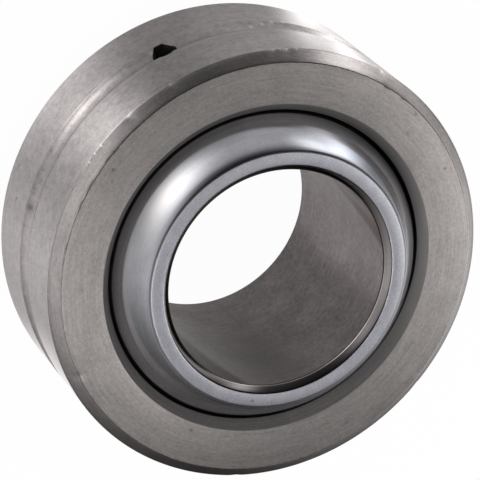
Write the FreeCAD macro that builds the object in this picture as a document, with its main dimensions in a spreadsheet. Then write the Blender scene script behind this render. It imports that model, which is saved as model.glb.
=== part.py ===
import FreeCAD, Part
import enum
import math
import os
import Sketcher

# Spherical plain bearing, metal to metal, for a 12.7 mm (1/2 in) shaft in a 25.4 mm (1 in) housing.
# Two pieces of steel: an outer ring and the ball that turns and tips inside it.
# The origin is the centre of the sphere, +Z is the axis of the bore, and both rings are at mid width
# on z = 0. The oil hole points along -Y. All lengths are in millimetres.

# The driving sizes, from the shaft outwards. Each is set by itself: the sphere grows out of the
# bore, the flat end face and the ball's width, and the outer diameter out of the sphere and the wall.
SIZES = [
    ("bore_radius", 6.35, "half the shaft's diameter"),
    ("ball_width", 13.1, "over the two flat end faces of the ball"),
    ("end_face_land", 1.23, "flat of the end face, from the bore to the sphere, before the edges"),
    ("bore_chamfer", 0.38, "45 degree lead-in at each end of the bore"),
    ("ball_edge_rounding", 0.3, "polished round where the sphere meets the end face"),
    ("seat_clearance", 0.03, "running gap between the sphere and its seat, on the radius"),
    ("race_wall", 2.65207, "wall at mid width, which makes the outside 25.4 mm"),
    ("race_width", 9.8, "over the two flat faces of the outer ring"),
    ("mouth_depth", 0.6, "how far the chamfer of each mouth reaches in from the face"),
    ("mouth_flare", 0.5, "how much that chamfer opens out, on the radius"),
    ("lip_relief", 0.11, "how far the lip of the seat stands back, on the radius, past the clearance"),
    ("lip_relief_depth", 0.4, "how far in from the lip that relief starts"),
    ("outer_chamfer_axial", 0.54, "outer edge, measured along the axis"),
    ("outer_chamfer_radial", 0.62, "outer edge, measured on the radius"),
    ("oil_groove_width", 1.6, "at the outside surface"),
    ("oil_groove_depth", 0.25, "shallow round-bottomed groove at mid width"),
    ("feed_groove_width", 2.2, "groove inside the seat that the oil hole opens into"),
    ("feed_groove_depth", 0.5, "below the surface of the seat"),
    ("oil_hole_radius", 0.8, "single radial hole"),
]

# Sizes that follow from the driving ones, as formulas on the spreadsheet.
SPHERE = "sqrt((Sizes.bore_radius + Sizes.end_face_land)^2 + (Sizes.ball_width / 2)^2)"
SEAT = SPHERE + " + Sizes.seat_clearance"
OUTSIDE = SEAT + " + Sizes.race_wall"
LIP = f"sqrt(({SEAT})^2 - (Sizes.race_width / 2 - Sizes.mouth_depth)^2) + Sizes.lip_relief"
GROOVE_BEND = "(Sizes.oil_groove_width^2 / 4 + Sizes.oil_groove_depth^2) / (2 * Sizes.oil_groove_depth)"

# How far a cutting profile stands clear of the surface that it cuts into.
CUT_CLEAR = 0.5
SAME_PLACE = 1e-4


class Spot(enum.IntEnum):
    """The sketcher's own numbers for an edge's two ends and its centre."""

    START = enum.auto()
    END = enum.auto()
    MIDDLE = enum.auto()


class Axis(enum.IntEnum):
    """The sketcher's own number for the axis across, which lies at mid width here."""

    MID_WIDTH = -1


ORIGIN = (Axis.MID_WIDTH, Spot.START)
CENTRE = (0, 0)


def make_sheet(doc):
    """The spreadsheet of driving sizes: name, value and what it is, one row each."""
    sheet = doc.addObject("Spreadsheet::Sheet", "Sizes")
    for row, (alias, value, meaning) in enumerate(SIZES, start=1):
        sheet.set(f"A{row}", alias)
        sheet.set(f"B{row}", str(value))
        sheet.set(f"C{row}", meaning)
        sheet.setAlias(f"B{row}", alias)
    doc.recompute()
    return sheet


def new_body(doc, name):
    """An empty body whose label is the piece's name, standing at the origin."""
    body = doc.addObject("PartDesign::Body", name)
    body.Label = name
    body.Placement = FreeCAD.Placement()
    return body


def new_sketch(body, name):
    """A sketch on the body's own XZ plane: across is the radius, up is the axis of the bore."""
    plane = next(f for f in body.Origin.OriginFeatures if f.Role == "XZ_Plane")
    sketch = body.newObject("Sketcher::SketchObject", name)
    sketch.AttachmentSupport = [(plane, "")]
    sketch.MapMode = "FlatFace"
    return sketch


class Side:
    """One edge of an outline: its number in the sketch, and which of its ends comes first."""

    def __init__(self, number, first, last):
        self.number = number
        self.first = (number, first)
        self.last = (number, last)


def draw_side(sketch, start, end, centre):
    """A straight edge, or an arc the short way round a centre. An arc always runs anticlockwise."""
    flat = FreeCAD.Vector(0, 0, 1)
    a = FreeCAD.Vector(*start, 0)
    b = FreeCAD.Vector(*end, 0)
    if centre is None:
        return Side(sketch.addGeometry(Part.LineSegment(a, b), False), Spot.START, Spot.END)
    middle = FreeCAD.Vector(*centre, 0)
    from_angle = math.atan2(a.y - middle.y, a.x - middle.x)
    turn = math.remainder(math.atan2(b.y - middle.y, b.x - middle.x) - from_angle, math.tau)
    circle = Part.Circle(middle, flat, a.distanceToPoint(middle))
    if turn > 0:
        curve = Part.ArcOfCircle(circle, from_angle, from_angle + turn)
        return Side(sketch.addGeometry(curve, False), Spot.START, Spot.END)
    curve = Part.ArcOfCircle(circle, from_angle + turn, from_angle)
    return Side(sketch.addGeometry(curve, False), Spot.END, Spot.START)


def outline(sketch, corners, centres=None, smooth=()):
    """A closed outline through the corners in turn. centres gives the middle of each side that is
    an arc, by the corner that it starts from. At a smooth corner one side runs on into the next."""
    centres = centres or {}
    ends = corners[1:] + corners[:1]
    sides = [draw_side(sketch, a, b, centres.get(a)) for a, b in zip(corners, ends)]
    for side, following, corner in zip(sides, sides[1:] + sides[:1], ends):
        kind = "Tangent" if corner in smooth else "Coincident"
        hold(sketch, kind, *side.last, *following.first)
    return sides


def hold(sketch, kind, *where):
    """A constraint with no size of its own."""
    return sketch.addConstraint(Sketcher.Constraint(kind, *where))


def size(sketch, name, formula, kind, *where):
    """A constraint whose size is bound to the spreadsheet."""
    now = float(sketch.evalExpression(formula))
    number = sketch.addConstraint(Sketcher.Constraint(kind, *where, now))
    sketch.renameConstraint(number, name)
    sketch.setExpression(f"Constraints.{name}", formula)


def volume(body):
    """The body's volume so far. A cut that points the wrong way changes nothing and shows no error."""
    return 0.0 if body.Shape.isNull() else body.Shape.Volume


def spin(body, kind, name, sketch):
    """A full turn of a profile about the axis of the bore: Revolution adds it and Groove cuts it."""
    before = volume(body)
    feature = body.newObject(kind, name)
    feature.Profile = sketch
    feature.ReferenceAxis = (sketch, ["V_Axis"])
    feature.Angle = 360
    sketch.Visibility = False
    body.Document.recompute()
    print(f"{name} changes the volume by {volume(body) - before:.2f} mm3")
    return feature


def bore_edges(shape, bore):
    """Names of the two circular edges at the ends of the bore."""
    names = []
    for number, edge in enumerate(shape.Edges, start=1):
        if isinstance(edge.Curve, Part.Circle) and abs(edge.Curve.Radius - bore) < SAME_PLACE:
            names.append(f"Edge{number}")
    return names


def race_blank(body, at):
    """Half section of the outer ring, with the spherical seat, its relieved lips, the flared mouths
    and the outer edges."""
    sketch = new_sketch(body, "race_section")
    face = at("Sizes.race_width / 2")
    lip = face - at("Sizes.mouth_depth")
    lip_radius = at(LIP)
    mouth = lip_radius + at("Sizes.mouth_flare")
    seat_end = lip - at("Sizes.lip_relief_depth")
    seat_rim = math.sqrt(at(SEAT) ** 2 - seat_end**2)
    outside = at(OUTSIDE)
    edge = outside - at("Sizes.outer_chamfer_radial")
    shoulder = face - at("Sizes.outer_chamfer_axial")
    corners = [
        (mouth, -face), (edge, -face), (outside, -shoulder), (outside, shoulder),
        (edge, face), (mouth, face), (lip_radius, lip), (seat_rim, seat_end),
        (seat_rim, -seat_end), (lip_radius, -lip),
    ]
    bottom, low_edge, wall, high_edge, top, high_mouth, high_lip, seat, low_lip, low_mouth = outline(
        sketch, corners, {(seat_rim, seat_end): CENTRE}
    )
    hold(sketch, "Coincident", seat.number, Spot.MIDDLE, *ORIGIN)
    hold(sketch, "Horizontal", bottom.number)
    hold(sketch, "Horizontal", top.number)
    hold(sketch, "Symmetric", *bottom.first, *top.last, Axis.MID_WIDTH)
    hold(sketch, "Symmetric", *wall.first, *wall.last, Axis.MID_WIDTH)
    hold(sketch, "Symmetric", *seat.first, *seat.last, Axis.MID_WIDTH)
    hold(sketch, "Symmetric", *high_lip.first, *low_lip.last, Axis.MID_WIDTH)
    hold(sketch, "Vertical", *low_edge.first, *high_edge.last)
    size(sketch, "seat_radius", SEAT, "Radius", seat.number)
    size(sketch, "outside_radius", OUTSIDE, "DistanceX", *ORIGIN, *wall.first)
    size(sketch, "width", "Sizes.race_width", "DistanceY", *bottom.last, *top.first)
    size(sketch, "mouth_depth", "Sizes.mouth_depth", "DistanceY", *high_mouth.last, *high_mouth.first)
    size(sketch, "mouth_flare", "Sizes.mouth_flare", "DistanceX", *high_mouth.last, *high_mouth.first)
    size(sketch, "lip_radius", LIP, "DistanceX", *ORIGIN, *high_lip.first)
    size(sketch, "lip_relief_depth", "Sizes.lip_relief_depth", "DistanceY", *high_lip.last, *high_lip.first)
    size(sketch, "edge_axial", "Sizes.outer_chamfer_axial", "DistanceY", *low_edge.first, *low_edge.last)
    size(sketch, "edge_radial", "Sizes.outer_chamfer_radial", "DistanceX", *low_edge.first, *low_edge.last)
    return spin(body, "PartDesign::Revolution", "race_blank", sketch)


def oil_groove(body, at):
    """The groove round the outside: a shallow arc, wider than it is deep."""
    sketch = new_sketch(body, "oil_groove_section")
    outside = at(OUTSIDE)
    clear = outside + CUT_CLEAR
    half = at("Sizes.oil_groove_width / 2")
    middle = outside - at("Sizes.oil_groove_depth") + at(GROOVE_BEND)
    corners = [(outside, -half), (clear, -half), (clear, half), (outside, half)]
    low, back, high, floor = outline(sketch, corners, {(outside, half): (middle, 0)})
    hold(sketch, "Horizontal", low.number)
    hold(sketch, "Horizontal", high.number)
    hold(sketch, "Vertical", back.number)
    hold(sketch, "PointOnObject", floor.number, Spot.MIDDLE, Axis.MID_WIDTH)
    hold(sketch, "Vertical", *floor.first, *floor.last)
    size(sketch, "outside_radius", OUTSIDE, "DistanceX", *ORIGIN, *low.first)
    size(sketch, "width", "Sizes.oil_groove_width", "DistanceY", *back.first, *back.last)
    size(sketch, "floor_bend", GROOVE_BEND, "Radius", floor.number)
    hold(sketch, "DistanceX", *low.first, *low.last, CUT_CLEAR)
    return spin(body, "PartDesign::Groove", "oil_groove", sketch)


def feed_groove(body, at):
    """The groove inside the seat, square in section, that spreads the oil round the ball."""
    sketch = new_sketch(body, "feed_groove_section")
    deep = at(SEAT + " + Sizes.feed_groove_depth")
    open_side = deep - at("Sizes.feed_groove_depth") - CUT_CLEAR
    half = at("Sizes.feed_groove_width / 2")
    corners = [(open_side, -half), (deep, -half), (deep, half), (open_side, half)]
    low, floor, high, near = outline(sketch, corners)
    hold(sketch, "Horizontal", low.number)
    hold(sketch, "Horizontal", high.number)
    hold(sketch, "Vertical", near.number)
    hold(sketch, "Symmetric", *floor.first, *floor.last, Axis.MID_WIDTH)
    size(sketch, "floor", SEAT + " + Sizes.feed_groove_depth", "DistanceX", *ORIGIN, *floor.first)
    size(sketch, "width", "Sizes.feed_groove_width", "DistanceY", *floor.first, *floor.last)
    size(sketch, "inner_side", f"Sizes.feed_groove_depth + {CUT_CLEAR}", "DistanceX", *low.first, *low.last)
    return spin(body, "PartDesign::Groove", "feed_groove", sketch)


def oil_hole(body, at):
    """One radial hole at mid width, along -Y, from the oil groove into the feed groove."""
    before = volume(body)
    sketch = new_sketch(body, "oil_hole_circle")
    circle = Part.Circle(FreeCAD.Vector(), FreeCAD.Vector(0, 0, 1), at("Sizes.oil_hole_radius"))
    number = sketch.addGeometry(circle, False)
    hold(sketch, "Coincident", number, Spot.MIDDLE, *ORIGIN)
    size(sketch, "hole_radius", "Sizes.oil_hole_radius", "Radius", number)
    pocket = body.newObject("PartDesign::Pocket", "oil_hole")
    pocket.Profile = sketch
    pocket.Type = "ThroughAll"
    pocket.Reversed = True
    sketch.Visibility = False
    body.Document.recompute()
    print(f"oil_hole changes the volume by {volume(body) - before:.2f} mm3")
    return pocket


def make_race(doc, at):
    """The outer ring, closed over the ball when it was made, in one piece."""
    body = new_body(doc, "outer_race")
    race_blank(body, at)
    oil_groove(body, at)
    feed_groove(body, at)
    oil_hole(body, at)
    return body


def make_ball(doc, at):
    """The inner ring: a sphere that runs over a small polished round into each of two flat end
    faces, with a straight bore."""
    body = new_body(doc, "ball")
    sketch = new_sketch(body, "ball_section")
    bore = at("Sizes.bore_radius")
    face = at("Sizes.ball_width / 2")
    rounding = at("Sizes.ball_edge_rounding")
    sphere_radius = at(SPHERE)
    bend = face - rounding
    rim = math.sqrt((sphere_radius - rounding) ** 2 - bend**2)
    run_out = sphere_radius / (sphere_radius - rounding)
    low_rim, high_rim = (rim, -face), (rim, face)
    low_out, high_out = (rim * run_out, -bend * run_out), (rim * run_out, bend * run_out)
    corners = [(bore, -face), low_rim, low_out, high_out, high_rim, (bore, face)]
    centres = {low_rim: (rim, -bend), low_out: CENTRE, high_out: (rim, bend)}
    bottom, low_round, sphere, high_round, top, wall = outline(
        sketch, corners, centres, (low_rim, low_out, high_out, high_rim)
    )
    hold(sketch, "Coincident", sphere.number, Spot.MIDDLE, *ORIGIN)
    hold(sketch, "Horizontal", bottom.number)
    hold(sketch, "Horizontal", top.number)
    hold(sketch, "Symmetric", *wall.first, *wall.last, Axis.MID_WIDTH)
    size(sketch, "bore_radius", "Sizes.bore_radius", "DistanceX", *ORIGIN, *bottom.first)
    size(sketch, "width", "Sizes.ball_width", "DistanceY", *wall.last, *wall.first)
    size(sketch, "sphere_radius", SPHERE, "Radius", sphere.number)
    size(sketch, "low_rounding", "Sizes.ball_edge_rounding", "Radius", low_round.number)
    size(sketch, "high_rounding", "Sizes.ball_edge_rounding", "Radius", high_round.number)
    blank = spin(body, "PartDesign::Revolution", "ball_blank", sketch)

    # A lead-in at each end of the bore.
    lead_in = body.newObject("PartDesign::Chamfer", "bore_chamfers")
    lead_in.Base = (blank, bore_edges(blank.Shape, bore))
    lead_in.setExpression("Size", "Sizes.bore_chamfer")
    doc.recompute()
    return body


def check(doc, bodies):
    """Every object has computed, and every piece is one sound solid."""
    for thing in doc.Objects:
        if "Invalid" in thing.State or "Error" in thing.State:
            raise RuntimeError(f"{thing.Name} did not compute: {thing.State}")
        if thing.isDerivedFrom("Sketcher::SketchObject") and not thing.FullyConstrained:
            raise RuntimeError(f"{thing.Name} is not held in place by its sizes")
    for body in bodies:
        shape = body.Shape
        if shape.isNull() or not shape.isValid() or len(shape.Solids) != 1:
            raise RuntimeError(f"{body.Label} is not one sound solid")
        box = shape.optimalBoundingBox()
        print(f"{body.Label}: {shape.Volume:.2f} mm3, {box.XLength:.4f} mm across, {box.ZLength:.4f} mm wide")


doc = FreeCAD.newDocument("spherical_plain_bearing")
sheet = make_sheet(doc)


def at(formula):
    """What a formula on the spreadsheet comes to, in millimetres."""
    return float(sheet.evalExpression(formula))


pieces = [make_race(doc, at), make_ball(doc, at)]
doc.recompute()
check(doc, pieces)

os.makedirs("parts", exist_ok=True)
for piece in pieces:
    piece.Shape.exportStep(f"parts/{piece.Label}.step")
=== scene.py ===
# %% [markdown]
# # A spherical plain bearing, dressed for its picture
# The object is a steel outer ring closed round a polished ball with a bore. Both rings are turned
# parts, so each one is drawn as half a section and spun about the axis of the bore. The imported CAD
# model gives the frame that everything is placed in, and its box is noted first.

# %% Load the imported model
import math

import bmesh
import bpy
from mathutils import Matrix, Vector


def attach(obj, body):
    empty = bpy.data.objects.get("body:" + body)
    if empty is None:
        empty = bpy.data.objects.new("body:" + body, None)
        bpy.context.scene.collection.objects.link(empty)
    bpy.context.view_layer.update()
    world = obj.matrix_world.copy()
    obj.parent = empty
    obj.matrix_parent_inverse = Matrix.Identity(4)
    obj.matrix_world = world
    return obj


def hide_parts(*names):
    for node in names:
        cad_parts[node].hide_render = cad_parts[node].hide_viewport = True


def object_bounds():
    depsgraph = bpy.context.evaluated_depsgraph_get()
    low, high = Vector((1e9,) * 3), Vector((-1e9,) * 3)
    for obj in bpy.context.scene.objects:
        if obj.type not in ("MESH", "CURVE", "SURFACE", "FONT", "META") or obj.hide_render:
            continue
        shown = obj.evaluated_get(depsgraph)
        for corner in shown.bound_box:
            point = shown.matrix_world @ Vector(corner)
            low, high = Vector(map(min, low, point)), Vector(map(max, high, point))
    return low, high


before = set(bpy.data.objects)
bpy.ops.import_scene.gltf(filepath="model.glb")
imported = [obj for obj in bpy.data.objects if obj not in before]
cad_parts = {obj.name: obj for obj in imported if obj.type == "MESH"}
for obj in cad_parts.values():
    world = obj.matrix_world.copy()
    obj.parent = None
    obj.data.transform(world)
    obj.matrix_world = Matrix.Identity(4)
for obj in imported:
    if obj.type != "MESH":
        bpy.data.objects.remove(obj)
cad_box = [list(corner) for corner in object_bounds()]
print("CAD box, metres:", cad_box)

# %% [markdown]
# ## The camera
# The picture looks down on the upper end of the bearing from 60 degrees above its mid plane, with
# a long lens, and the camera is rolled so that the end that shows faces the lower right. The
# camera is made from its own three directions, because a roll this large is easier to read that
# way than as three angles.

# %% Camera
MM = 0.001
CAMERA_AZIMUTH = math.radians(-69.231)
CAMERA_ELEVATION = math.radians(60.232)
CAMERA_ROLL = math.radians(134.586)
CAMERA_DISTANCE = 177.309 * MM
CENTRE_RIGHT, CENTRE_UP = -0.1208 * MM, 0.0276 * MM
LENS = 233.95

back = Vector((math.cos(CAMERA_ELEVATION) * math.cos(CAMERA_AZIMUTH),
               math.cos(CAMERA_ELEVATION) * math.sin(CAMERA_AZIMUTH),
               math.sin(CAMERA_ELEVATION)))
level = Vector((0, 0, 1)).cross(back).normalized()
roll = Matrix.Rotation(CAMERA_ROLL, 3, back)
right, up = roll @ level, roll @ back.cross(level)

lens_data = bpy.data.cameras.new("camera")
lens_data.lens, lens_data.sensor_width = LENS, 36
lens_data.clip_start, lens_data.clip_end = 1 * MM, 10
camera = bpy.data.objects.new("camera", lens_data)
bpy.context.collection.objects.link(camera)
place = back * CAMERA_DISTANCE - right * CENTRE_RIGHT - up * CENTRE_UP
camera.matrix_world = Matrix.Translation(place) @ Matrix((right, up, back)).transposed().to_4x4()
bpy.context.scene.camera = camera
print("camera at", [round(value / MM, 1) for value in place], "mm")

# %% [markdown]
# ## Sizes
# The sizes are those of the CAD model, in millimetres, so the dressed rings fill the same space.
# Distances from the axis are radii, and heights are measured from mid width.

# %% Sizes of the two rings
BORE, BALL_HALF_WIDTH, BORE_CHAMFER = 6.35, 6.55, 0.38
SPHERE, BALL_ROUNDING = 10.01793, 0.3
SEAT = SPHERE + 0.03
OUTSIDE, RING_HALF_WIDTH = 12.7, 4.9
MOUTH_DEPTH, MOUTH_FLARE = 0.6, 0.5
LIP_RELIEF, LIP_RELIEF_DEPTH = 0.11, 0.4
EDGE_HIGH, EDGE_DEEP = 0.54, 0.62
GROOVE_HALF, GROOVE_DEEP = 0.8, 0.25
FEED_HALF, FEED_DEEP = 1.1, 0.5
OIL_HOLE = 0.8
# Edges are broken by this much, where two faces meet at more than a few degrees.
BALL_SOFTENING, RING_SOFTENING = 0.08, 0.04
SHARP = math.radians(14)
# How finely the profiles and the turning are divided.
AROUND = 400
ROUNDING_STEPS, SPHERE_STEPS, SEAT_STEPS, GROOVE_STEPS = 5, 64, 24, 16
# Image angles run anticlockwise from the right of the picture. An angle about the bore is this
# much less.
PICTURE_TURN = 200.6


# %% [markdown]
# ## A pen that draws with bmesh
# A lathe profile is lines and arcs. A line is a vertex extruded to a new place, and an arc is a
# vertex spun about the arc's centre, so the operators make every point and no list of coordinates
# has to be worked out. At the end the whole outline is spun about the axis.

# %% The pen
class Pen:
    """Draws a closed outline, in the plane of radius and height, and turns it on a lathe."""

    def __init__(self, radius, height):
        self.mesh = bmesh.new()
        self.tip = self.mesh.verts.new(Vector((radius, 0, height)) * MM)

    def line(self, radius, height):
        moved = bmesh.ops.extrude_vert_indiv(self.mesh, verts=[self.tip])["verts"]
        self.tip = moved[0]
        self.tip.co = Vector((radius, 0, height)) * MM

    def arc(self, centre, degrees, steps):
        """Goes round a centre, clockwise where degrees is positive."""
        turned = bmesh.ops.spin(
            self.mesh, geom=[self.tip], cent=Vector((centre[0], 0, centre[1])) * MM,
            axis=(0, 1, 0), angle=math.radians(degrees), steps=steps)["geom_last"]
        self.tip = [item for item in turned if isinstance(item, bmesh.types.BMVert)][0]

    def turn(self):
        """Closes the outline, spins it and points every face outwards."""
        work = self.mesh
        bmesh.ops.remove_doubles(work, verts=work.verts[:], dist=0.001 * MM)
        bmesh.ops.spin(work, geom=work.verts[:] + work.edges[:], cent=(0, 0, 0), axis=(0, 0, 1),
                       angle=math.tau, steps=AROUND, use_merge=True)
        bmesh.ops.recalc_face_normals(work, faces=work.faces[:])
        return work


def soften(work, width):
    """Breaks the sharp edges, as a stone or a tumbler does."""
    sharp = [edge for edge in work.edges
             if len(edge.link_faces) == 2 and edge.calc_face_angle() > SHARP]
    bmesh.ops.bevel(work, geom=sharp, offset=width * MM, affect="EDGES", segments=3, profile=0.5,
                    material=-1, clamp_overlap=True)
    print(len(sharp), "edges softened by", width, "mm")


# %% [markdown]
# ## The ball
# The inner ring is a sphere cut off by two flat ends, with a straight bore. Its section starts at
# the bore, goes up to the end face, round a small arc on to the sphere, and down again.

# %% Draw and turn the ball
FACE_EDGE = math.sqrt((SPHERE - BALL_ROUNDING) ** 2 - (BALL_HALF_WIDTH - BALL_ROUNDING) ** 2)
ROUNDING_UP = BALL_HALF_WIDTH - BALL_ROUNDING
SPHERE_ANGLE = math.degrees(math.atan2(ROUNDING_UP, FACE_EDGE))

pen = Pen(BORE, -BALL_HALF_WIDTH + BORE_CHAMFER)
pen.line(BORE, BALL_HALF_WIDTH - BORE_CHAMFER)
pen.line(BORE + BORE_CHAMFER, BALL_HALF_WIDTH)
pen.line(FACE_EDGE, BALL_HALF_WIDTH)
pen.arc((FACE_EDGE, ROUNDING_UP), 90 - SPHERE_ANGLE, ROUNDING_STEPS)
pen.arc((0, 0), 2 * SPHERE_ANGLE, SPHERE_STEPS)
pen.arc((FACE_EDGE, -ROUNDING_UP), 90 - SPHERE_ANGLE, ROUNDING_STEPS)
pen.line(BORE + BORE_CHAMFER, -BALL_HALF_WIDTH)
pen.line(BORE, -BALL_HALF_WIDTH + BORE_CHAMFER)
ball_mesh = pen.turn()
soften(ball_mesh, BALL_SOFTENING)
print("ball:", len(ball_mesh.faces), "faces")

# %% [markdown]
# ## The outer ring
# The ring's section has the spherical seat inside, a short chamfered mouth at each end, the flat
# faces, the chamfers at the outside and the oil groove round the middle. A few extra points lie
# close to each chamfer, so that the knocks pressed in later have metal to move.

# %% Draw and turn the outer ring
LIP_HEIGHT = RING_HALF_WIDTH - MOUTH_DEPTH
LIP_RADIUS = math.sqrt(SEAT ** 2 - LIP_HEIGHT ** 2) + LIP_RELIEF
SEAT_END = LIP_HEIGHT - LIP_RELIEF_DEPTH
SEAT_RIM = math.sqrt(SEAT ** 2 - SEAT_END ** 2)
FEED_EDGE = math.sqrt(SEAT ** 2 - FEED_HALF ** 2)
SEAT_ANGLE = math.degrees(math.atan2(SEAT_END, SEAT_RIM) - math.atan2(FEED_HALF, FEED_EDGE))
GROOVE_BEND = (GROOVE_HALF ** 2 + GROOVE_DEEP ** 2) / (2 * GROOVE_DEEP)
GROOVE_ANGLE = 2 * math.degrees(math.asin(GROOVE_HALF / GROOVE_BEND))

CLOSE_TO_EDGE = (0.45, 0.25, 0.12)
OVER_CHAMFER = (0, 0.33, 0.67, 1)

pen = Pen(FEED_EDGE, -FEED_HALF)
pen.line(SEAT + FEED_DEEP, -FEED_HALF)
pen.line(SEAT + FEED_DEEP, FEED_HALF)
pen.line(FEED_EDGE, FEED_HALF)
pen.arc((0, 0), -SEAT_ANGLE, SEAT_STEPS)
pen.line(LIP_RADIUS, LIP_HEIGHT)
pen.line(LIP_RADIUS + MOUTH_FLARE, RING_HALF_WIDTH)
for inset in CLOSE_TO_EDGE:
    pen.line(OUTSIDE - EDGE_DEEP - inset, RING_HALF_WIDTH)
for share in OVER_CHAMFER:
    pen.line(OUTSIDE - EDGE_DEEP * (1 - share), RING_HALF_WIDTH - EDGE_HIGH * share)
for inset in reversed(CLOSE_TO_EDGE):
    pen.line(OUTSIDE, RING_HALF_WIDTH - EDGE_HIGH - inset)
pen.line(OUTSIDE, GROOVE_HALF)
pen.arc((OUTSIDE - GROOVE_DEEP + GROOVE_BEND, 0), -GROOVE_ANGLE, GROOVE_STEPS)
for inset in CLOSE_TO_EDGE:
    pen.line(OUTSIDE, EDGE_HIGH + inset - RING_HALF_WIDTH)
for share in reversed(OVER_CHAMFER):
    pen.line(OUTSIDE - EDGE_DEEP * (1 - share), EDGE_HIGH * share - RING_HALF_WIDTH)
for inset in reversed(CLOSE_TO_EDGE):
    pen.line(OUTSIDE - EDGE_DEEP - inset, -RING_HALF_WIDTH)
pen.line(LIP_RADIUS + MOUTH_FLARE, -RING_HALF_WIDTH)
pen.line(LIP_RADIUS, -LIP_HEIGHT)
pen.line(SEAT_RIM, -SEAT_END)
pen.arc((0, 0), -SEAT_ANGLE, SEAT_STEPS)
ring_mesh = pen.turn()
soften(ring_mesh, RING_SOFTENING)
print("ring:", len(ring_mesh.faces), "faces")

# %% [markdown]
# ## Knocks on the ring's edges
# A bearing that has lain with others in a bin has small knocks where its edges met them. Each is
# pressed into the mesh, because an edge shows its own outline and a bump in a material can't move
# that. The places are angles in the picture, and a distance from the axis and a height.


# %% Press the knocks in
def dent(work, angle, radius, height, reach, depth):
    """Presses the metal in round one place, and less and less away from it."""
    turned = math.radians(angle - PICTURE_TURN)
    spot = Vector((radius * math.cos(turned), radius * math.sin(turned), height)) * MM
    inwards = -Vector((math.cos(turned), math.sin(turned), math.copysign(1, height))).normalized()
    pressed = 0
    for vert in work.verts:
        far = (vert.co - spot).length / (reach * MM)
        if far < 1:
            vert.co += inwards * depth * MM * (1 - far * far)
            pressed += 1
    return pressed


# For each knock: its angle in the picture, radius and height, how far it reaches and how deep it
# is. The last four are on the far side.
KNOCKS = (
    (128.6, 12.68, 4.38, 0.30, 0.035),
    (138.5, 12.68, 4.38, 0.26, 0.025),
    (143.4, 12.68, 4.38, 0.26, 0.020),
    (115.9, 12.69, 4.37, 0.24, 0.025),
    (88.2, 12.69, 4.37, 0.28, 0.03),
    (84.6, 12.69, 4.37, 0.26, 0.03),
    (136.3, 12.12, 4.88, 0.24, 0.015),
    (202.8, 12.11, 4.88, 0.30, 0.035),
    (55.1, 12.12, 4.88, 0.24, 0.02),
    (48.9, 12.14, 4.86, 0.24, 0.02),
    (57.4, 12.69, 4.37, 0.28, 0.03),
    (262.0, 12.69, 4.37, 0.30, 0.03),
    (317.0, 12.69, 4.37, 0.30, 0.02),
    (20.0, 12.69, -4.37, 0.34, 0.04),
    (251.0, 12.69, -4.37, 0.30, 0.03),
    (300.0, 12.12, -4.88, 0.30, 0.03),
    (95.0, 12.12, -4.88, 0.28, 0.03),
)
print("knocks, vertices pressed in:", [dent(ring_mesh, *knock) for knock in KNOCKS])


# %% [markdown]
# ## From a bmesh to a piece
# Each surface of a ring has its own finish, so its faces are sorted into material slots by where
# they are. A weighted normal modifier keeps the flat faces flat to the eye beside the small
# rounded edges.

# %% Make an object from a bmesh
def piece(name, work, finishes, sort):
    """Makes an object, with sort(face centre, normal) naming the finish of each face."""
    names = list(finishes)
    for face in work.faces:
        centre, normal = face.calc_center_median() / MM, face.normal
        reach = math.hypot(centre.x, centre.y)
        outwards = (normal.x * centre.x + normal.y * centre.y) / reach
        face.material_index = names.index(sort(reach, centre.z, outwards, normal.z))
        face.smooth = True
    data = bpy.data.meshes.new(name)
    work.to_mesh(data)
    work.free()
    for finish in finishes.values():
        data.materials.append(finish)
    made = bpy.data.objects.new(name, data)
    bpy.context.collection.objects.link(made)
    return made


# %% [markdown]
# ## Shader maths
# One small class wraps a socket, so that a pattern can be written as a sum. Anything else comes
# from the sheet's node method, which takes the node's type, its settings and its inputs.

# %% A value that does arithmetic
def tint(value):
    """A colour of three numbers, as a socket wants it."""
    return (*value, 1.0)


class Value:
    """A socket of a node, on which Python's operators add Math nodes."""

    def __init__(self, sheet, socket):
        self.sheet, self.socket = sheet, socket

    def math(self, operation, other=0.0):
        return self.sheet.node("ShaderNodeMath", {"operation": operation}, {0: self, 1: other})

    def __add__(self, other):
        return self.math("ADD", other)

    __radd__ = __add__

    def __mul__(self, other):
        return self.math("MULTIPLY", other)

    def __sub__(self, other):
        return self.math("SUBTRACT", other)

    def __rsub__(self, other):
        return self.sheet.node("ShaderNodeMath", {"operation": "SUBTRACT"}, {0: other, 1: self})

    def __truediv__(self, other):
        return self.math("DIVIDE", other)

    def __pow__(self, other):
        return self.math("POWER", other)


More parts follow.
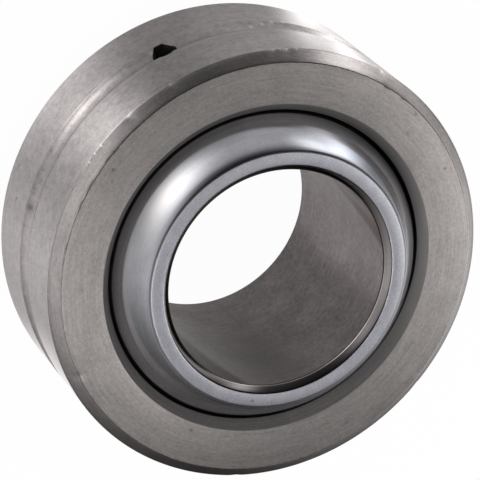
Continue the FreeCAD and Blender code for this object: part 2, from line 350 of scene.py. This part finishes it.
class Sheet:
    """A material's nodes, written as expressions."""

    NOISE_ROUGHNESS = 0.6

    def __init__(self, name):
        self.material = bpy.data.materials.new(name)
        self.material.use_nodes = True
        self.tree = self.material.node_tree
        self.tree.nodes.clear()
        self.end = self.tree.nodes.new("ShaderNodeOutputMaterial")

    def node(self, kind, settings, inputs, output=0):
        made = self.tree.nodes.new(kind)
        for key, value in settings.items():
            setattr(made, key, value)
        for key, value in inputs.items():
            if isinstance(value, Value):
                self.tree.links.new(value.socket, made.inputs[key])
            else:
                made.inputs[key].default_value = value
        return Value(self, made.outputs[output])

    def place(self):
        """Notes where a point of the ring is: as a vector, in millimetres, and from the axis."""
        self.where = self.node("ShaderNodeTexCoord", {}, {}, output="Object")
        parts = self.tree.nodes.new("ShaderNodeSeparateXYZ")
        self.tree.links.new(self.where.socket, parts.inputs[0])
        self.x, self.y, self.z = (Value(self, socket) * (1 / MM) for socket in parts.outputs)
        self.radius = (self.x * self.x + self.y * self.y) ** 0.5

    def grain(self, size, detail=2.0):
        """A pattern of no direction, with features of this size in millimetres."""
        return self.noise(self.where, 1 / (size * MM), detail)

    def marks(self, length, width, across, detail=2.0):
        """Marks that run round the axis, from a length and a width in millimetres.

        The point's direction from the axis goes round a circle in the noise, so the pattern closes
        on itself, and across is the distance over the marks.
        """
        turn = OUTSIDE / length
        line = self.join(self.x / self.radius * turn, self.y / self.radius * turn, across / width)
        return self.noise(line, 1.0, detail)

    def noise(self, where, scale, detail):
        return self.node("ShaderNodeTexNoise", {},
                         {"Vector": where, "Scale": scale, "Detail": detail,
                          "Roughness": self.NOISE_ROUGHNESS})

    def spot(self, angle, across, centre, long, wide):
        """1 at one place and 0 away from it, by an angle in the picture and a distance across.

        long and wide, in millimetres, are how far from the middle it has sunk to about a third.
        """
        turned = math.radians(angle - PICTURE_TURN)
        along = (self.y * math.cos(turned) - self.x * math.sin(turned)) / long
        ahead = self.x * math.cos(turned) + self.y * math.sin(turned)
        off = (across - centre) / wide
        near = (along * along + off * off) * -1
        return near.math("EXPONENT") * ahead.math("GREATER_THAN")

    def tone(self, middle, swing, patterns, spots=()):
        """A colour that the patterns make lighter and darker, with spots of other colours on it.

        The colour of a spot is three numbers, or a tone of its own.
        """
        factor = 0.5
        for pattern, share in patterns:
            factor = factor + (pattern - 0.5) * share
        colour = self.blend(factor, tint(value * (1 - swing) for value in middle),
                            tint(value * (1 + swing) for value in middle))
        for spot, shade in spots:
            shade = shade if isinstance(shade, Value) else tint(shade)
            colour = self.blend(spot, colour, shade)
        return colour

    def join(self, x, y, z):
        return self.node("ShaderNodeCombineXYZ", {}, {0: x, 1: y, 2: z})

    def blend(self, factor, first, second):
        return self.node("ShaderNodeMix", {"data_type": "RGBA"},
                         {"Factor": factor, 6: first, 7: second}, output=2)

    def ramp(self, value, low, high):
        """0 up to the low value, 1 from the high one, and a smooth step between."""
        return self.node("ShaderNodeMapRange", {"interpolation_type": "SMOOTHSTEP"},
                         {"Value": value, "From Min": low, "From Max": high})

    def metal(self, colour, roughness, bump=None, depth=0.0, **fixed):
        """Finishes the material as metal, with a bump of this depth in millimetres."""
        inputs = {"Base Color": colour, "Metallic": 1.0, "Roughness": roughness}
        if bump is not None:
            inputs["Normal"] = self.node("ShaderNodeBump", {},
                                         {"Height": bump, "Strength": 1.0, "Distance": depth * MM})
        inputs.update(fixed)
        shader = self.node("ShaderNodeBsdfPrincipled", {}, inputs)
        self.tree.links.new(shader.socket, self.end.inputs["Surface"])
        return self.material


# %% [markdown]
# ## Finishes of the outer ring
# The outside is ground, so its marks run round it as fine bands. The faces are turned, so their
# marks are arcs about the axis, broken into short lengths, and the chamfers are darker.

# %% Finishes of the outer ring
# Marks that run round the axis spread a reflection across them. A quarter turn says across.
ROUND_MARKS = {"Anisotropic": 0.55, "Anisotropic Rotation": 0.25}
FACE_MARKS = {"Anisotropic": 0.42, "Anisotropic Rotation": 0.25}
SLIGHT_MARKS = {"Anisotropic": 0.2, "Anisotropic Rotation": 0.25}

# The first colour is for rubbed nicks: worn metal, painted brighter than steel as a painted glint.
RUBBED_GLINT = (0.92, 0.90, 0.88)
BLACKENED = (0.10, 0.095, 0.09)
DARK_SPECK = (0.14, 0.13, 0.12)
FAINT_STAIN = (0.16, 0.15, 0.14)

# Bright places where the outer edge was rubbed, painted brighter than bare steel as a painted glint:
# an angle in the picture and half a length.
EDGE_NICK_GLINTS = (
    (128.6, 0.15), (138.4, 0.05), (140.9, 0.04), (143.4, 0.05), (115.9, 0.06),
    (88.2, 0.08), (86.4, 0.05), (84.6, 0.08), (82.0, 0.06), (57.4, 0.10),
)
# Bright places along the lower edge of the oil groove, worn and painted as glints: an angle, a
# height and half a length.
GROOVE_NICK_GLINTS = (
    (113.0, -0.52, 0.12), (85.8, -0.35, 0.12), (82.4, -0.60, 0.10), (79.5, -0.80, 0.12),
    (76.0, -1.0, 0.10),
)
# Dark places on the turned face: an angle, a radius, half a length and half a width, how much of
# the face's own colour each one covers, and its colour.
FACE_SPECKS = (
    (136.3, 12.04, 0.08, 0.05, 0.8, BLACKENED),
    (141.6, 11.50, 0.09, 0.09, 0.8, DARK_SPECK),
    (55.2, 12.05, 0.13, 0.07, 1.0, BLACKENED),
    (49.1, 12.06, 0.13, 0.07, 1.0, BLACKENED),
    (23.6, 11.53, 0.09, 0.08, 0.7, DARK_SPECK),
    (42.9, 11.87, 0.10, 0.08, 0.6, DARK_SPECK),
    (40.5, 10.84, 0.12, 0.08, 0.5, FAINT_STAIN),
    (242.6, 10.14, 0.12, 0.08, 0.7, DARK_SPECK),
    (295.7, 11.18, 0.35, 0.14, 0.35, FAINT_STAIN),
    (306.0, 11.70, 1.30, 0.22, 0.22, FAINT_STAIN),
)


def edge_nick_glints(sheet, height, wide):
    """The rubbed places of the outer edge, painted bright with a glint, at this height on the
    surface beside it.
    """
    nick_glints = 0.0
    for angle, long in EDGE_NICK_GLINTS:
        nick_glints = sheet.spot(angle, sheet.z, height, long, wide) * 0.8 + nick_glints
    return nick_glints


def ground_outside():
    sheet = Sheet("ground outside")
    sheet.place()
    bands = sheet.marks(5.0, 0.25, sheet.z, 3)
    stains = sheet.grain(1.6, 3)
    mottle = sheet.grain(0.4, 3)
    pits = sheet.ramp(sheet.grain(0.5), 0.68, 0.76)
    # Painted shade: a darker band along the oil groove, where its wall is turned from the light.
    groove_shade = sheet.spot(134.0, sheet.z, 0.42, 5.0, 0.30) * 0.55
    smudge = sheet.spot(164.1, sheet.z, -0.50, 0.22, 0.30) * 0.75
    # Nicks on the edge and along the groove: worn metal with a painted glint.
    nick_glints = edge_nick_glints(sheet, 4.33, 0.06)
    for angle, level, long in GROOVE_NICK_GLINTS:
        nick_glints = sheet.spot(angle, sheet.z, level, long, 0.12) * 0.7 + nick_glints
    colour = sheet.tone(
        (0.445, 0.410, 0.408), 0.36,
        ((sheet.grain(0.15), 0.7), (mottle, 1.0), (bands, 0.4), (stains, 0.7), (pits, -0.5)),
        ((groove_shade, (0.20, 0.185, 0.18)), (smudge, (0.13, 0.12, 0.115)), (nick_glints, RUBBED_GLINT)))
    return sheet.metal(colour, bands * 0.06 + mottle * 0.1 + 0.20, mottle + bands, 0.002,
                       **ROUND_MARKS)


def turned_face():
    sheet = Sheet("turned face")
    sheet.place()
    radius = sheet.radius
    fine = sheet.marks(0.28, 0.12, radius)
    scratches = sheet.marks(2.6, 0.12, radius)
    bands = sheet.marks(14.0, 0.5, radius, 3)
    stains = sheet.grain(1.1, 4)
    rim = sheet.ramp(sheet.marks(0.9, 0.5, radius), 0.42, 0.58)
    burr = sheet.spot(152.0, radius, 12.08, 5.6, 0.045) * rim * 0.8
    specks = [(sheet.spot(angle, radius, reach, long, wide) * cover, shade)
              for angle, reach, long, wide, cover, shade in FACE_SPECKS]
    colour = sheet.tone(
        (0.474, 0.440, 0.427), 0.25,
        ((sheet.grain(0.15), 0.9), (fine, 0.9), (scratches, 1.0), (bands, 0.35), (stains, 0.7)),
        [(burr, BLACKENED)] + specks)
    return sheet.metal(colour, fine * 0.08 + bands * 0.08 + 0.29, fine + scratches, 0.002,
                       **FACE_MARKS)


def edge_chamfer():
    sheet = Sheet("edge chamfer")
    sheet.place()
    across = sheet.radius - sheet.z
    fine = sheet.marks(0.25, 0.10, across)
    scratches = sheet.marks(3.0, 0.09, across)
    stains = sheet.marks(1.6, 0.8, across, 3)
    broken = sheet.ramp(sheet.marks(0.9, 0.5, across), 0.40, 0.56)
    burr = sheet.spot(150.0, sheet.radius, 12.12, 5.2, 0.04) * broken * 0.8
    # Nicks on the edge: worn metal with a painted glint.
    nick_glints = edge_nick_glints(sheet, 4.38, 0.05)
    colour = sheet.tone((0.46, 0.426, 0.419), 0.34,
                        ((fine, 0.9), (scratches, 0.5), (stains, 0.8)),
                        ((burr, BLACKENED), (nick_glints, RUBBED_GLINT)))
    return sheet.metal(colour, fine * 0.08 + 0.19, fine + scratches, 0.003, **SLIGHT_MARKS)


def mouth_chamfer():
    sheet = Sheet("mouth chamfer")
    sheet.place()
    across = sheet.radius + sheet.z
    lines = sheet.marks(9.0, 0.09, across)
    fine = sheet.marks(0.3, 0.12, across)
    # Painted light: one side of the mouth is painted lighter, standing in for light it reflects.
    lighter = sheet.spot(8.0, sheet.radius, 9.5, 6.0, 1.5) * 0.85
    colour = sheet.tone((0.38, 0.360, 0.342), 0.3, ((lines, 1.0), (fine, 0.9)),
                        ((lighter, (0.82, 0.78, 0.75)),))
    return sheet.metal(colour, fine * 0.1 + 0.58, lines, 0.003)


def ring_inside():
    sheet = Sheet("ring inside")
    sheet.place()
    lines = sheet.marks(12.0, 0.2, sheet.z)
    colour = sheet.tone((0.15, 0.15, 0.14), 0.4, ((lines, 1.0), (sheet.grain(0.3), 0.6)))
    return sheet.metal(colour, lines * 0.1 + 0.4)


# %% [markdown]
# ## Finishes of the ball
# The sphere is chromed and polished, the end faces are satin, and the bore is ground and a little
# stained. The sphere is painted darker beside the gap, as painted shade, and warm and blue casts are
# painted on it as painted reflections. Its shoulder beside the end face is duller than the rest, and
# painted dark as a painted reflection, darkest on one side.

# %% Finishes of the ball
# The next colour is painted shade on the sphere beside the gap.
GAP_SHADE = (0.08, 0.09, 0.10)
# The next colour is painted shade on the bore's chamfer.
CHAMFER_SHADE = (0.06, 0.056, 0.055)
# Half the width of the painted highlight on the edge between the bore and its chamfer, in
# millimetres.
LINE_WIDTH = 0.05


def ball_outside():
    sheet = Sheet("ball outside")
    sheet.place()
    height, radius = sheet.z, sheet.radius
    rubbed = sheet.marks(5.0, 0.22, height)
    haze = sheet.grain(0.9, 4)
    # Painted reflections: a warm cast and a blue cast where the sphere's highlights lie.
    warm_reflection_tint = sheet.spot(141.0, height, 5.5, 2.8, 0.7) * 0.8
    blue_reflection_tint = sheet.spot(56.0, height, 6.0, 2.2, 0.5) * 0.8
    # Painted shade: the sphere is darker beside the gap, where the ring's mouth shades it.
    soft_gap_shade = sheet.spot(125.0, height, 4.45, 8.0, 0.5) * 0.6
    gap_shade = sheet.spot(32.0, height, 4.5, 5.5, 0.62) * 0.9
    polished = sheet.tone((0.712, 0.716, 0.762), 0.16,
                          ((rubbed, 0.9), (haze, 0.7), (sheet.grain(0.2), 0.5)),
                          ((warm_reflection_tint, (0.755, 0.725, 0.715)), (blue_reflection_tint, (0.700, 0.735, 0.860)),
                           (soft_gap_shade, (0.30, 0.31, 0.32)), (gap_shade, GAP_SHADE)))
    blasted = sheet.grain(0.09)
    speck = sheet.spot(257.1, radius, 7.17, 0.09, 0.08) * 0.7
    satin = sheet.tone((0.60, 0.598, 0.656), 0.3,
                       ((blasted, 1.2), (sheet.grain(0.8, 3), 0.5)),
                       ((speck, (0.2, 0.2, 0.21)),))
    end = 1 - sheet.ramp(radius, FACE_EDGE, FACE_EDGE + 0.07)
    # The shoulder is rougher than the sphere and painted dark, as a painted reflection, darkest on
    # one side.
    dull_painted_dark = 1 - sheet.ramp(radius, FACE_EDGE + 0.14, FACE_EDGE + 0.32)
    shoulder_dark_reflection = sheet.spot(112.0, radius, FACE_EDGE + 0.19, 5.4, 0.19) * 0.9
    shoulder = sheet.blend(dull_painted_dark, polished, tint((0.42, 0.42, 0.45)))
    shoulder = sheet.blend(shoulder_dark_reflection, shoulder, tint((0.10, 0.10, 0.12)))
    colour = sheet.blend(end, shoulder, satin)
    roughness = (blasted * 0.08 + 0.31) * dull_painted_dark + (haze * 0.05 + rubbed * 0.04 + 0.09) * (1 - dull_painted_dark)
    return sheet.metal(colour, roughness, blasted * end, 0.002)


def ground_bore():
    sheet = Sheet("ground bore")
    sheet.place()
    height = sheet.z
    rings = sheet.marks(5.0, 0.25, height, 3)
    stains = sheet.grain(2.0, 4)
    patterns = ((rings, 0.4), (stains, 1.1), (sheet.grain(0.25), 0.9))
    # One side of the bore is painted lighter than the rest, as a painted reflection, and the side
    # beside it is painted darker.
    lighter = sheet.ramp(sheet.spot(11.0, height, 0.0, 3.6, 14.0), 0.22, 0.58)
    painted_light_tone = sheet.tone((0.62, 0.545, 0.54), 0.32, patterns)
    darker_side = sheet.spot(272.0, height, 2.5, 2.4, 5.5) * 0.75
    # The chamfer at each end is darker, its darkest parts are painted shade, and the bright line
    # where it meets the bore is a painted highlight.
    rim = height.math("ABSOLUTE") - (BALL_HALF_WIDTH - BORE_CHAMFER)
    chamfer = sheet.ramp(rim, 0.02, 0.08) * 0.8
    shaded = sheet.spot(292.0, height, BALL_HALF_WIDTH, 4.2, 0.8) * chamfer
    second_shade = sheet.spot(247.0, height, BALL_HALF_WIDTH, 2.4, 0.8) * chamfer * 0.6
    # Painted highlight: a bright line on the edge between the bore and its chamfer.
    off = rim / LINE_WIDTH
    bright = (off * off * -1).math("EXPONENT")
    colour = sheet.tone((0.350, 0.310, 0.306), 0.42, patterns,
                        ((lighter, painted_light_tone), (darker_side, (0.17, 0.152, 0.152)),
                         (chamfer, (0.28, 0.26, 0.255)), (shaded, CHAMFER_SHADE),
                         (second_shade, CHAMFER_SHADE), (bright, (0.80, 0.77, 0.76))))
    return sheet.metal(colour, stains * 0.06 + rings * 0.02 + 0.10, **SLIGHT_MARKS)


# %% [markdown]
# ## The two pieces
# A face's finish follows from where it is and which way it looks. The ball's end faces share a
# finish with its sphere, because the shoulder between them has no edge.

# %% Make the two pieces
# How much of a face's normal points along the axis, or away from it, for each kind of face.
FLAT, INWARDS, OUTWARDS = 0.97, -0.2, 0.15


def ring_finish(radius, height, outwards, upwards):
    if outwards < INWARDS and radius < SEAT + FEED_DEEP and abs(height) < LIP_HEIGHT:
        return "inside"
    if abs(upwards) > FLAT:
        return "face"
    if outwards < 0:
        return "mouth"
    return "outside" if abs(height) < RING_HALF_WIDTH - EDGE_HIGH else "edge"


def ball_finish(_radius, _height, outwards, upwards):
    return "outside" if outwards > OUTWARDS or abs(upwards) > FLAT else "bore"


outer_ring = piece("outer_ring", ring_mesh,
                   {"outside": ground_outside(), "face": turned_face(),
                    "edge": edge_chamfer(), "inside": ring_inside(), "mouth": mouth_chamfer()},
                   ring_finish)
inner_ball = piece("inner_ball", ball_mesh,
                   {"outside": ball_outside(), "bore": ground_bore()}, ball_finish)

# %% [markdown]
# ## The oil hole
# The hole is drilled from the groove into the seat. A cutter is subtracted from the ring and the
# result is kept as the ring's own mesh, because a live modifier would need its cutter.

# %% Drill the oil hole
# Flats that the hole got when the ring was pressed closed: a direction across it and a distance.
PINCHED = ((0, 0.67), (-23, 0.62), (-35, 0.635), (-90, 0.76), (-138, 0.725))
# How much longer it is on the upper side, where it breaks into the land.
DRAWN = 1.22
DRILL_LENGTH, DRILL_MIDDLE, DRILL_SIDES = 4, -11.7, 48
# Edges sharper than this stay sharp to the eye: those of the hole.
CREASE = math.radians(40)

drill = bmesh.new()
bmesh.ops.create_cone(drill, cap_ends=True, segments=DRILL_SIDES, radius1=OIL_HOLE * MM,
                      radius2=OIL_HOLE * MM, depth=DRILL_LENGTH * MM)
bmesh.ops.rotate(drill, verts=drill.verts[:], matrix=Matrix.Rotation(math.pi / 2, 3, "X"))
for lean, reach in PINCHED:
    aim = Vector((math.cos(math.radians(lean)), 0, math.sin(math.radians(lean))))
    bmesh.ops.bisect_plane(drill, geom=drill.verts[:] + drill.edges[:] + drill.faces[:],
                           plane_co=aim * reach * MM, plane_no=aim, clear_outer=True)
    bmesh.ops.holes_fill(drill, edges=[edge for edge in drill.edges if edge.is_boundary])
for vert in drill.verts:
    vert.co.z *= DRAWN if vert.co.z > 0 else 1
bmesh.ops.translate(drill, verts=drill.verts[:], vec=(0, DRILL_MIDDLE * MM, 0))
cutter_mesh = bpy.data.meshes.new("drill")
drill.to_mesh(cutter_mesh)
drill.free()
cutter_mesh.materials.append(outer_ring.data.materials["ring inside"])
cutter = bpy.data.objects.new("drill", cutter_mesh)
bpy.context.collection.objects.link(cutter)

cut = outer_ring.modifiers.new("oil hole", "BOOLEAN")
cut.operation, cut.solver, cut.object = "DIFFERENCE", "EXACT", cutter
bpy.context.view_layer.update()
drilled = bpy.data.meshes.new_from_object(
    outer_ring.evaluated_get(bpy.context.evaluated_depsgraph_get()))
outer_ring.modifiers.clear()
outer_ring.data = drilled
bpy.data.objects.remove(cutter)
drilled.set_sharp_from_angle(angle=CREASE)
print("drilled ring:", len(drilled.polygons), "faces")

for made, node, body, finish in ((outer_ring, "outer_race", "outer_race", "ground_steel"),
                                 (inner_ball, "ball", "ball", "polished_chrome")):
    smooth = made.modifiers.new("flat faces stay flat", "WEIGHTED_NORMAL")
    smooth.keep_sharp = True
    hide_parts(node)
    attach(made, body)

# %% [markdown]
# ## Floor and light
# The floor is plain and pale. It is white to the camera and in the metal, and keeps a soft shadow.

# %% Floor
# Half the floor's side, in metres, and how much of its shadow the camera sees.
FLOOR_REACH = 1.0
SHADOW_SHARE = 0.03

floor_mesh = bmesh.new()
bmesh.ops.create_grid(floor_mesh, x_segments=1, y_segments=1, size=FLOOR_REACH)
bmesh.ops.translate(floor_mesh, verts=floor_mesh.verts[:], vec=(0, 0, cad_box[0][2]))
floor_data = bpy.data.meshes.new("floor")
floor_mesh.to_mesh(floor_data)
floor_mesh.free()
floor = bpy.data.objects.new("floor", floor_data)
bpy.context.collection.objects.link(floor)


def seen(sheet):
    """1 for a ray that comes from the camera, or off metal, or through glass."""
    rays = sheet.tree.nodes.new("ShaderNodeLightPath")
    camera_ray, glossy, through = (Value(sheet, rays.outputs[name]) for name in
                                   ("Is Camera Ray", "Is Glossy Ray", "Is Transmission Ray"))
    return camera_ray.math("MAXIMUM", glossy.math("MAXIMUM", through))


sheet = Sheet("white floor")
matt = sheet.node("ShaderNodeBsdfDiffuse", {}, {"Color": (0.9, 0.9, 0.9, 1)})
white = sheet.node("ShaderNodeEmission", {}, {"Color": (1, 1, 1, 1), "Strength": 1.0})
both = sheet.node("ShaderNodeMixShader", {},
                  {0: seen(sheet) * (1 - SHADOW_SHARE), 1: matt, 2: white})
sheet.tree.links.new(both.socket, sheet.end.inputs["Surface"])
floor_data.materials.append(sheet.material)

# %% [markdown]
# ## The room
# The room round the bearing is plain white too, and it gives the soft light that falls on the
# floor.

# %% World
world = bpy.data.worlds.new("studio")
world.use_nodes = True
bpy.context.scene.world = world
tree = world.node_tree
tree.nodes.clear()
background = tree.nodes.new("ShaderNodeBackground")
background.inputs["Color"].default_value = (1, 1, 1, 1)
background.inputs["Strength"].default_value = 1.0
world_end = tree.nodes.new("ShaderNodeOutputWorld")
tree.links.new(background.outputs[0], world_end.inputs["Surface"])


# %% [markdown]
# ## The studio tent
# Polished metal shows what stands round it more than the light that falls on it, so what it
# reflects has to be made. A studio does that with a tent of white cloth and a few lamps behind it,
# each of which makes a round glow with a soft edge. Here the tent is a dome that stands on a disc.
# Only the metal sees it. Each glow is brightest in one direction from the bearing and falls off
# round that, and its spread is the angle at which half of it is left.

# %% Lamps behind the tent
# The tent's radius and the height of its middle, in millimetres, and how bright its cloth is at
# least straight under the ring, where the bore and the ring's far edges see it.
TENT_RADIUS, TENT_CENTRE = 220, 4.0
UNDER_THE_RING = 0.28
# Each lamp's angle in the picture and its height above the bearing, how far it spreads to the
# sides and upwards, in degrees, and its strength.
LAMPS = (
    (263, 69, 6.2, 6.2, 5.47),
    (334, 49, 6.2, 9.5, 4.00),
    (137, -20, 10.6, 6.2, 2.55),
    (47, -27, 4.6, 8.0, 2.30),
    (58, -39, 4.4, 6.0, 1.60),
    (32, -28, 7.0, 10.0, 0.70),
    (17, 7, 12.0, 7.0, 0.60),
    (135, 8, 17.5, 6.5, 1.50),
    (334, 0, 26.0, 13.5, 1.45),
    (232, -37, 14.0, 10.0, 1.60),
    (248, -33, 12.0, 10.0, 0.40),
    (137, -43, 12.6, 11.3, 1.07),
    (33, -1, 8.0, 6.0, 1.00),
    (50, 4, 9.0, 4.5, 1.05),
    (146, 33, 12.0, 8.0, 0.66),
    (42, 17, 7.5, 7.0, 2.15),
    (38, -5, 10.1, 22.0, 0.50),
    (188, 29, 54.8, 19.6, 0.88),
    (183, -28, 21.0, 20.6, 0.78),
    (92, 8, 25.0, 7.0, 0.14),
    (76, -22, 31.8, 41.1, 0.47),
)


# %% [markdown]
# ## The tent's cloth
# Each lamp is a sum of squares in a power of one half, worked out from the direction of a point of
# the cloth as seen from the middle of the tent. The directions are ahead to the lamp, to its side
# and above it.

# %% Make the tent
TENT_AROUND, TENT_UPWARDS = 96, 48


def half_at(spread):
    """What a squared sine is multiplied by, so that half is left at this many degrees."""
    return math.log(0.5) / math.sin(math.radians(spread)) ** 2


def tent_cloth():
    sheet = Sheet("tent cloth")
    where = sheet.node("ShaderNodeTexCoord", {}, {}, output=3)
    reach = sheet.node("ShaderNodeVectorMath", {"operation": "SUBTRACT"},
                       {0: where, 1: (0, 0, TENT_CENTRE * MM)})
    towards = sheet.node("ShaderNodeVectorMath", {"operation": "NORMALIZE"}, {0: reach})
    glow = 0.0
    for angle, height, sideways, upwards, strength in LAMPS:
        turned, raised = math.radians(angle - PICTURE_TURN), math.radians(height)
        aim = (math.cos(raised) * math.cos(turned), math.cos(raised) * math.sin(turned),
               math.sin(raised))
        side = (-math.sin(turned), math.cos(turned), 0)
        top = (-math.sin(raised) * math.cos(turned), -math.sin(raised) * math.sin(turned),
               math.cos(raised))
        ahead, aside, above = (
            sheet.node("ShaderNodeVectorMath", {"operation": "DOT_PRODUCT"},
                       {0: towards, 1: axis}, output=1) for axis in (aim, side, top))
        fall = aside * aside * half_at(sideways) + above * above * half_at(upwards)
        glow = ahead.math("MAXIMUM") * fall.math("EXPONENT") * strength + glow
    return sheet, glow


tent_mesh = bmesh.new()
bmesh.ops.create_uvsphere(tent_mesh, u_segments=TENT_AROUND, v_segments=TENT_UPWARDS,
                          radius=TENT_RADIUS * MM)
bmesh.ops.translate(tent_mesh, verts=tent_mesh.verts[:], vec=(0, 0, TENT_CENTRE * MM))
TENT_FOOT = cad_box[0][2] + 0.01 * MM
dome = tent_mesh.verts[:] + tent_mesh.edges[:] + tent_mesh.faces[:]
bmesh.ops.bisect_plane(tent_mesh, geom=dome, plane_co=(0, 0, TENT_FOOT), plane_no=(0, 0, 1),
                       clear_inner=True)
disc = bmesh.ops.create_circle(tent_mesh, cap_ends=True, segments=TENT_AROUND,
                               radius=TENT_RADIUS * MM)
bmesh.ops.translate(tent_mesh, verts=disc["verts"], vec=(0, 0, TENT_FOOT))
tent_data = bpy.data.meshes.new("tent")
tent_mesh.to_mesh(tent_data)
tent_mesh.free()
tent = bpy.data.objects.new("tent", tent_data)
bpy.context.collection.objects.link(tent)
tent.visible_camera = tent.visible_diffuse = tent.visible_shadow = False
tent.visible_transmission = False
sheet, glow = tent_cloth()
sheet.place()
glow = glow.math("MAXIMUM", sheet.radius.math("LESS_THAN", OUTSIDE) * UNDER_THE_RING)
shine = sheet.node("ShaderNodeEmission", {}, {"Color": (1, 1, 1, 1), "Strength": glow})
sheet.tree.links.new(shine.socket, sheet.end.inputs["Surface"])
tent_data.materials.append(sheet.material)

# %% [markdown]
# ## The end
# Colours are shown as they are.

bpy.context.scene.view_settings.view_transform = "Standard"
